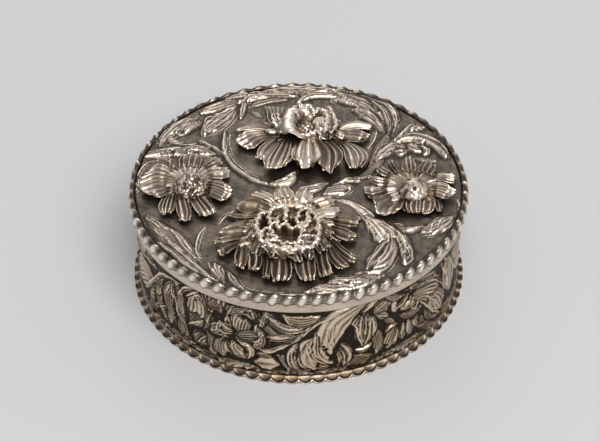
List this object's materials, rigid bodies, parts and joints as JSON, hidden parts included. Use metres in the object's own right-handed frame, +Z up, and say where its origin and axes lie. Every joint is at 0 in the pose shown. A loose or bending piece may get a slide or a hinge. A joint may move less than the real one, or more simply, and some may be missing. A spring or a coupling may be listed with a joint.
{
  "type": "round lidded box",
  "caption": "Round embossed silver box with a lift-off lid, fluted borders, an inner collar that guides the lid, and raised flower heads on the lid.",
  "frame": {"origin": "centre of the underside of the base, on the surface that the box stands on", "axes": "+Z up along the axis of the round box; the front flower of the lid is towards -Y and the two small flowers lie towards -X and +X"},
  "size_m": [0.0898, 0.09, 0.0345],
  "materials": {
    "plain_silver": "worn satin silver",
    "border_silver": "polished fluted silver, darkened in the hollows",
    "embossed_silver": "chased silver, oxidised in the ground",
    "flower_silver": "chased silver, polished on the crests"
  },
  "bodies": {
    "box": {"base_plate": "plain_silver", "foot_border": "border_silver", "body_wall": "embossed_silver", "inner_collar": "plain_silver"},
    "lid": {"lid_plate": "embossed_silver", "lid_band": "plain_silver", "lid_border": "border_silver", "flower_left_petals": "flower_silver", "flower_left_boss": "flower_silver", "flower_right_petals": "flower_silver", "flower_right_boss": "flower_silver", "flower_front_petals": "flower_silver", "flower_front_frill": "flower_silver", "flower_front_heart": "embossed_silver", "flower_back_petals": "flower_silver", "flower_back_cup": "flower_silver", "flower_back_seeds": "embossed_silver"}
  },
  "joints": [
    {"name": "lid_lift", "type": "slide", "parent": "box", "child": "lid", "axis": [0, 0, 1], "range_m": [0, 0.04]}
  ]
}
